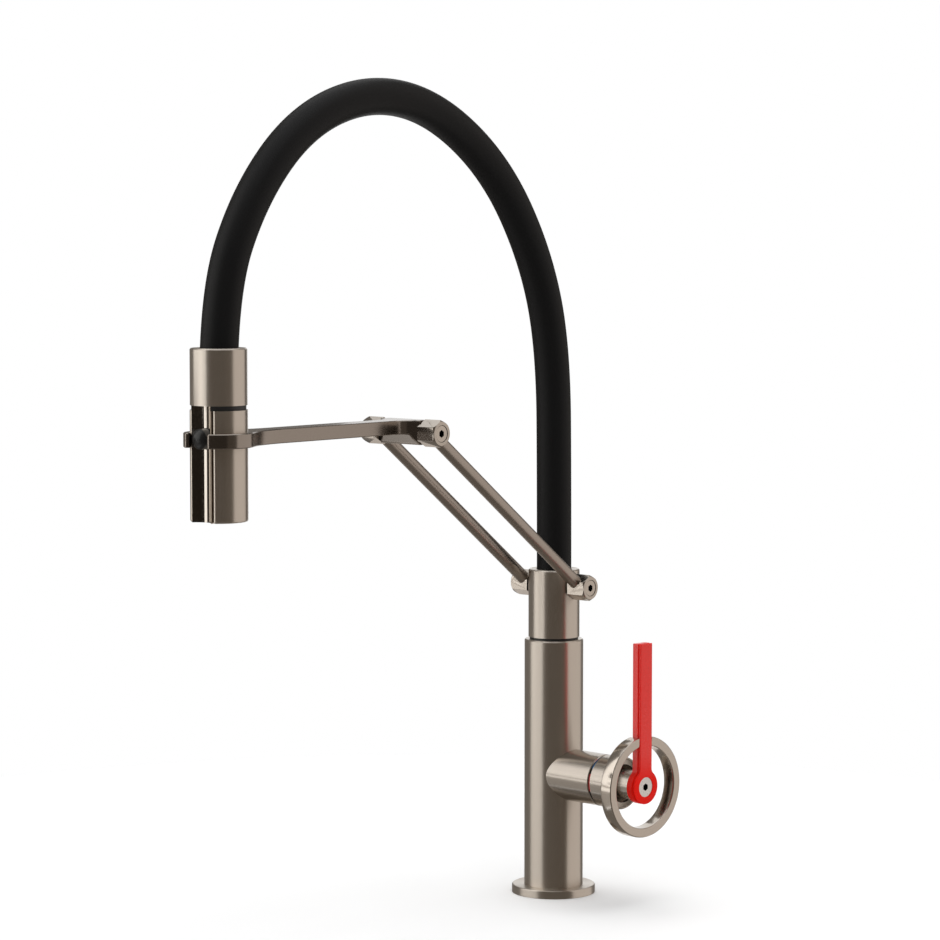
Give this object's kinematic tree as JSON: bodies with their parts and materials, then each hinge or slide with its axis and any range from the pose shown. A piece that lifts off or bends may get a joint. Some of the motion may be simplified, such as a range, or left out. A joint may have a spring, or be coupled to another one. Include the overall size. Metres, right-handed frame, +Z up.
{
  "type": "kitchen mixer tap",
  "caption": "Tall single-hole kitchen mixer tap with a side lever wheel, a jointed swivel arm and a pull-off spray on a flexible hose.",
  "frame": {"origin": "centre of the base flange's underside, on the worktop and on the column axis", "axes": "+Z up the column, -Y towards the user along the arm, +X to the handle's side"},
  "size_m": [0.1103, 0.3362, 0.5025],
  "materials": {
    "nickel": "brushed nickel",
    "polished": "polished",
    "brass": "machined",
    "steel": "satin stainless",
    "seal_rubber": "matte",
    "hose_rubber": "smooth matte",
    "black_plastic": "matte",
    "ceramic_white": "polished ceramic",
    "lever_red": "satin red paint",
    "mark_blue": "gloss",
    "mark_red": "gloss"
  },
  "bodies": {
    "base": {"base_flange": "nickel", "base_gasket": "seal_rubber", "body_column": "nickel", "handle_barrel": "nickel", "waterway_block": "brass", "cartridge_gasket": "seal_rubber", "cartridge_housing": "black_plastic", "fixed_ceramic_disc": "ceramic_white", "cartridge_nut": "nickel", "index_ring": "black_plastic", "cold_mark": "mark_blue", "hot_mark": "mark_red", "handle_cap": "nickel", "swivel_set_screw": "steel", "slip_ring": "black_plastic"},
    "swivel": {"swivel_column": "nickel", "spigot_seals": "seal_rubber", "hose_ferrule_lower": "brass", "lower_pivot_screws": "steel", "lower_friction_washers": "black_plastic", "hose": "hose_rubber"},
    "lower_link": {"lower_knuckle_right": "nickel", "lower_knuckle_left": "nickel", "elbow_knuckle_right": "nickel", "elbow_knuckle_left": "nickel", "link_rod_right": "nickel", "link_rod_left": "nickel", "lower_pivot_bushes": "black_plastic", "elbow_pivot_bushes": "black_plastic"},
    "upper_arm": {"upper_arm": "nickel", "elbow_pivot_screws": "steel", "elbow_friction_washers": "black_plastic"},
    "spray": {"spray_collar": "nickel", "spray_shell": "nickel", "spray_trough": "polished", "spray_core": "black_plastic", "spray_face": "black_plastic", "aerator": "black_plastic", "hose_ferrule_upper": "brass", "button_spring": "steel"},
    "button": {"push_button": "polished", "diverter_spool": "black_plastic"},
    "rotor": {"cartridge_rotor": "black_plastic", "tilt_pin": "steel"},
    "disc": {"moving_ceramic_disc": "ceramic_white"},
    "lever": {"handle_stem": "nickel", "lever_handle": "lever_red", "lever_screw": "steel", "wheel_ring": "nickel"}
  },
  "joints": [
    {"name": "column_swivel", "type": "hinge", "parent": "base", "child": "swivel", "pos_m": [0, 0, 0.16], "axis": [0, 0, 1], "range_deg": [-110, 110]},
    {"name": "lower_pivot", "type": "hinge", "parent": "swivel", "child": "lower_link", "pos_m": [0, 0, 0.1931], "axis": [1, 0, 0], "range_deg": [-20, 15], "deforming": ["hose"]},
    {"name": "elbow_pivot", "type": "hinge", "parent": "lower_link", "child": "upper_arm", "pos_m": [0, -0.1385, 0.2956], "axis": [1, 0, 0], "range_deg": [-20, 20], "deforming": ["hose"]},
    {"name": "spray_lift", "type": "slide", "parent": "upper_arm", "child": "spray", "axis": [0, 0, 1], "range_m": [0, 0.05], "deforming": ["hose"]},
    {"name": "button_press", "type": "slide", "parent": "spray", "child": "button", "axis": [0, 1, 0], "range_m": [0, 0.0022], "stiffness_N_per_m": 900, "springref_m": -0.002, "deforming": ["button_spring"]},
    {"name": "temperature", "type": "hinge", "parent": "base", "child": "rotor", "pos_m": [0, 0, 0.0755], "axis": [0.9962, -0.0872, 0], "range_deg": [-45, 45]},
    {"name": "flow", "type": "hinge", "parent": "rotor", "child": "lever", "pos_m": [0.0518, -0.00453, 0.0755], "axis": [0.0872, 0.9962, 0], "range_deg": [0, 15]},
    {"name": "disc_slide", "type": "slide", "parent": "rotor", "child": "disc", "axis": [0, 0, 1], "range_m": [0, 0.0042]}
  ],
  "couplings": [
    {"joint": "disc_slide", "follows": "flow", "m_per_rad": 0.016}
  ]
}
